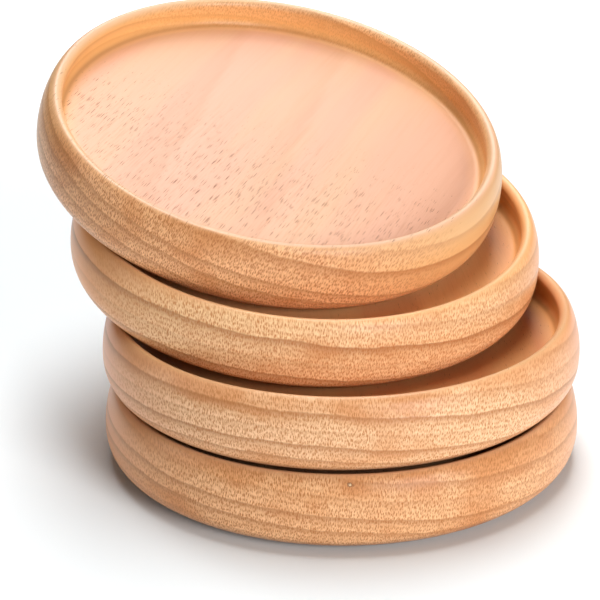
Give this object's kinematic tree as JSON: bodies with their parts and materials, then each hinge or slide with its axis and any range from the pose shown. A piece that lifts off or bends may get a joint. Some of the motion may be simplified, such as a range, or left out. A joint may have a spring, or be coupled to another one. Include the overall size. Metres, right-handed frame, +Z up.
{
  "type": "drink coaster stack",
  "caption": "Stack of round turned beech drink coasters with recessed tops, the upper ones slid back and leaning into the recess below; each lifts off.",
  "frame": {"origin": "centre of the flat underside of the bottom coaster, on the table", "axes": "+Z up, away from the table; the picture looks along +Y and down, with +X to its right; the upper coasters are slid back and left and lean down to the front right"},
  "size_m": [0.1026, 0.1094, 0.0743],
  "materials": {
    "bottom_beech": "clear oiled, satin",
    "second_beech": "clear oiled, satin",
    "third_beech": "clear oiled, satin",
    "top_beech": "clear oiled, satin"
  },
  "bodies": {
    "bottom": {"bottom_coaster": "bottom_beech"},
    "second": {"second_coaster": "second_beech"},
    "third": {"third_coaster": "third_beech"},
    "top": {"top_coaster": "top_beech"}
  },
  "joints": [
    {"name": "second_lift", "type": "slide", "parent": "bottom", "child": "second", "axis": [0, 0, 1], "range_m": [0, 0.04]},
    {"name": "third_lift", "type": "slide", "parent": "second", "child": "third", "axis": [0, 0, 1], "range_m": [0, 0.04]},
    {"name": "top_lift", "type": "slide", "parent": "third", "child": "top", "axis": [0, 0, 1], "range_m": [0, 0.04]}
  ]
}
